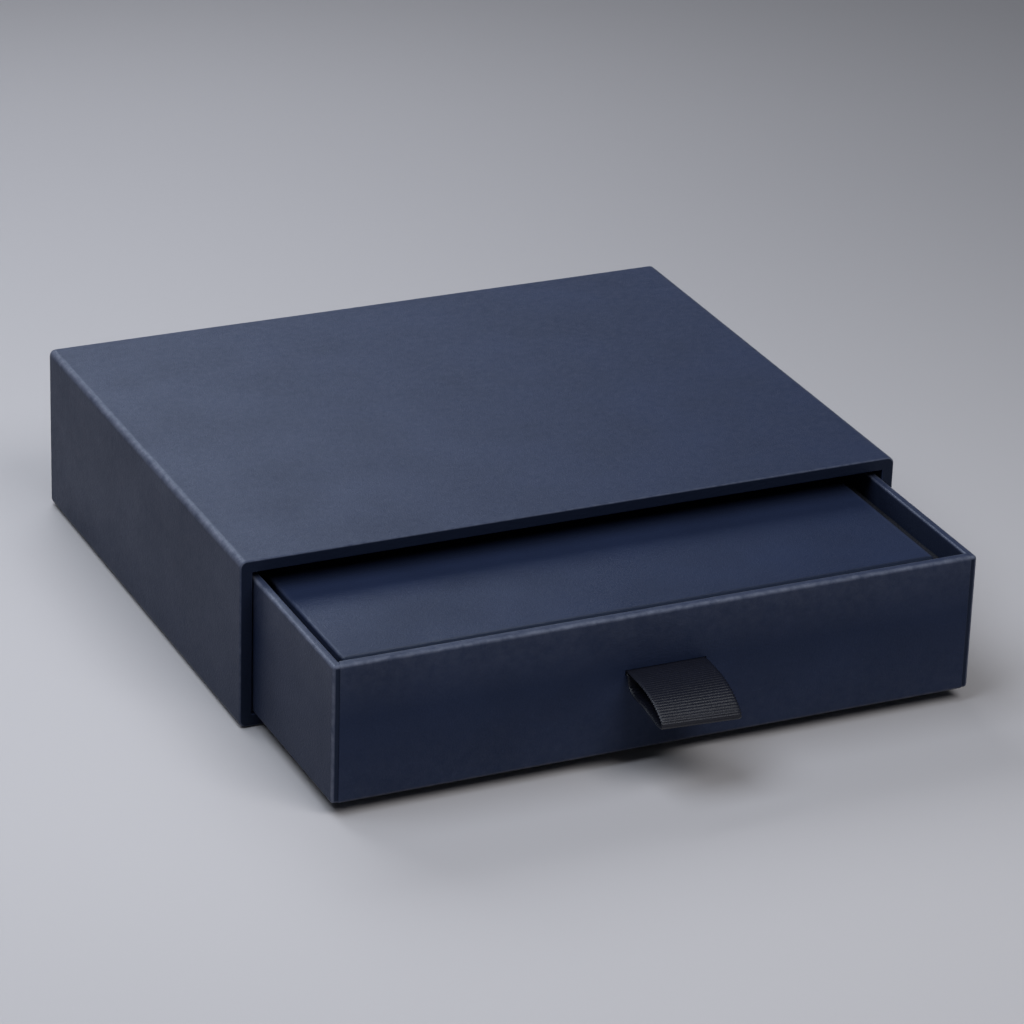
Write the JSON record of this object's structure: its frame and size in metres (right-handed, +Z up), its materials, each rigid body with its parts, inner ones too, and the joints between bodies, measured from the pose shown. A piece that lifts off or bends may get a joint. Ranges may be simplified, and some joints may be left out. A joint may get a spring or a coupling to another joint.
{
  "type": "sliding drawer gift box",
  "caption": "Flat rigid gift box: a paper-wrapped board drawer with a ribbon pull slides out of an open-fronted sleeve, and holds a lift-out cover over die-cut foam.",
  "frame": {"origin": "centre of the sleeve's underside, on the surface that the box stands on", "axes": "+Z up, -Y the way the drawer slides out, X across the front; the drawer is 56.5 mm out at rest"},
  "size_m": [0.2, 0.2381, 0.0505],
  "materials": {
    "cover_paper": "satin",
    "lining_paper": "matte",
    "greyboard": "matte",
    "grosgrain": "satin",
    "foam": "matte"
  },
  "bodies": {
    "sleeve": {"sleeve_top_board": "greyboard", "sleeve_bottom_board": "greyboard", "sleeve_left_board": "greyboard", "sleeve_right_board": "greyboard", "sleeve_back_board": "greyboard", "sleeve_wrap": "cover_paper", "sleeve_back_sheet": "cover_paper", "sleeve_lining": "lining_paper", "sleeve_base_sheet": "cover_paper"},
    "drawer": {"drawer_base_board": "greyboard", "drawer_front_board": "greyboard", "drawer_back_board": "greyboard", "drawer_left_board": "greyboard", "drawer_right_board": "greyboard", "drawer_wrap": "cover_paper", "drawer_front_facing": "cover_paper", "drawer_lining": "lining_paper", "pull_ribbon": "grosgrain", "ribbon_anchor_patch": "lining_paper", "foam_base_layer": "foam", "foam_cut_layer": "foam", "cover_board": "greyboard", "cover_wrap": "cover_paper", "cover_under_sheet": "lining_paper"}
  },
  "joints": [
    {"name": "drawer_slide", "type": "slide", "parent": "sleeve", "child": "drawer", "axis": [0, -1, 0], "range_m": [-0.0565, 0.0982]}
  ]
}
